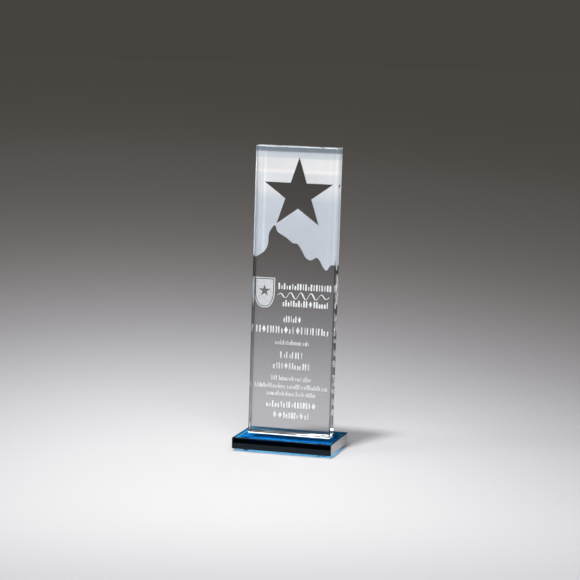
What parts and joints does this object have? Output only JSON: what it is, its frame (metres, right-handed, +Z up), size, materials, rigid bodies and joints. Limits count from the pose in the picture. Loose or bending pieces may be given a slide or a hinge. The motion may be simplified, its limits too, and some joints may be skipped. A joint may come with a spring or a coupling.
{
  "type": "star trophy",
  "caption": "Free-standing glass award: clear rectangular tower with a frosted star-and-ridge sky, bonded to a blue glass base on bumper feet.",
  "frame": {"origin": "on the floor, under the middle of the base", "axes": "+Z up along the tower, -Y out of the tower's front face, +X to the right as the front is seen"},
  "size_m": [0.0888, 0.0636, 0.266],
  "materials": {
    "clear_glass": "ground and polished, clear",
    "frost": "frosted, matt, nearly opaque",
    "adhesive": "clear cured adhesive",
    "blue_glass": "polished, deep transparent blue",
    "bumper": "clear soft bumper, satin"
  },
  "bodies": {
    "root": {"glass_tower": "clear_glass", "frosted_sky": "frost", "adhesive_bond": "adhesive", "base_plate": "blue_glass", "foot_front_left": "bumper", "foot_front_right": "bumper", "foot_back_left": "bumper", "foot_back_right": "bumper"}
  },
  "joints": []
}
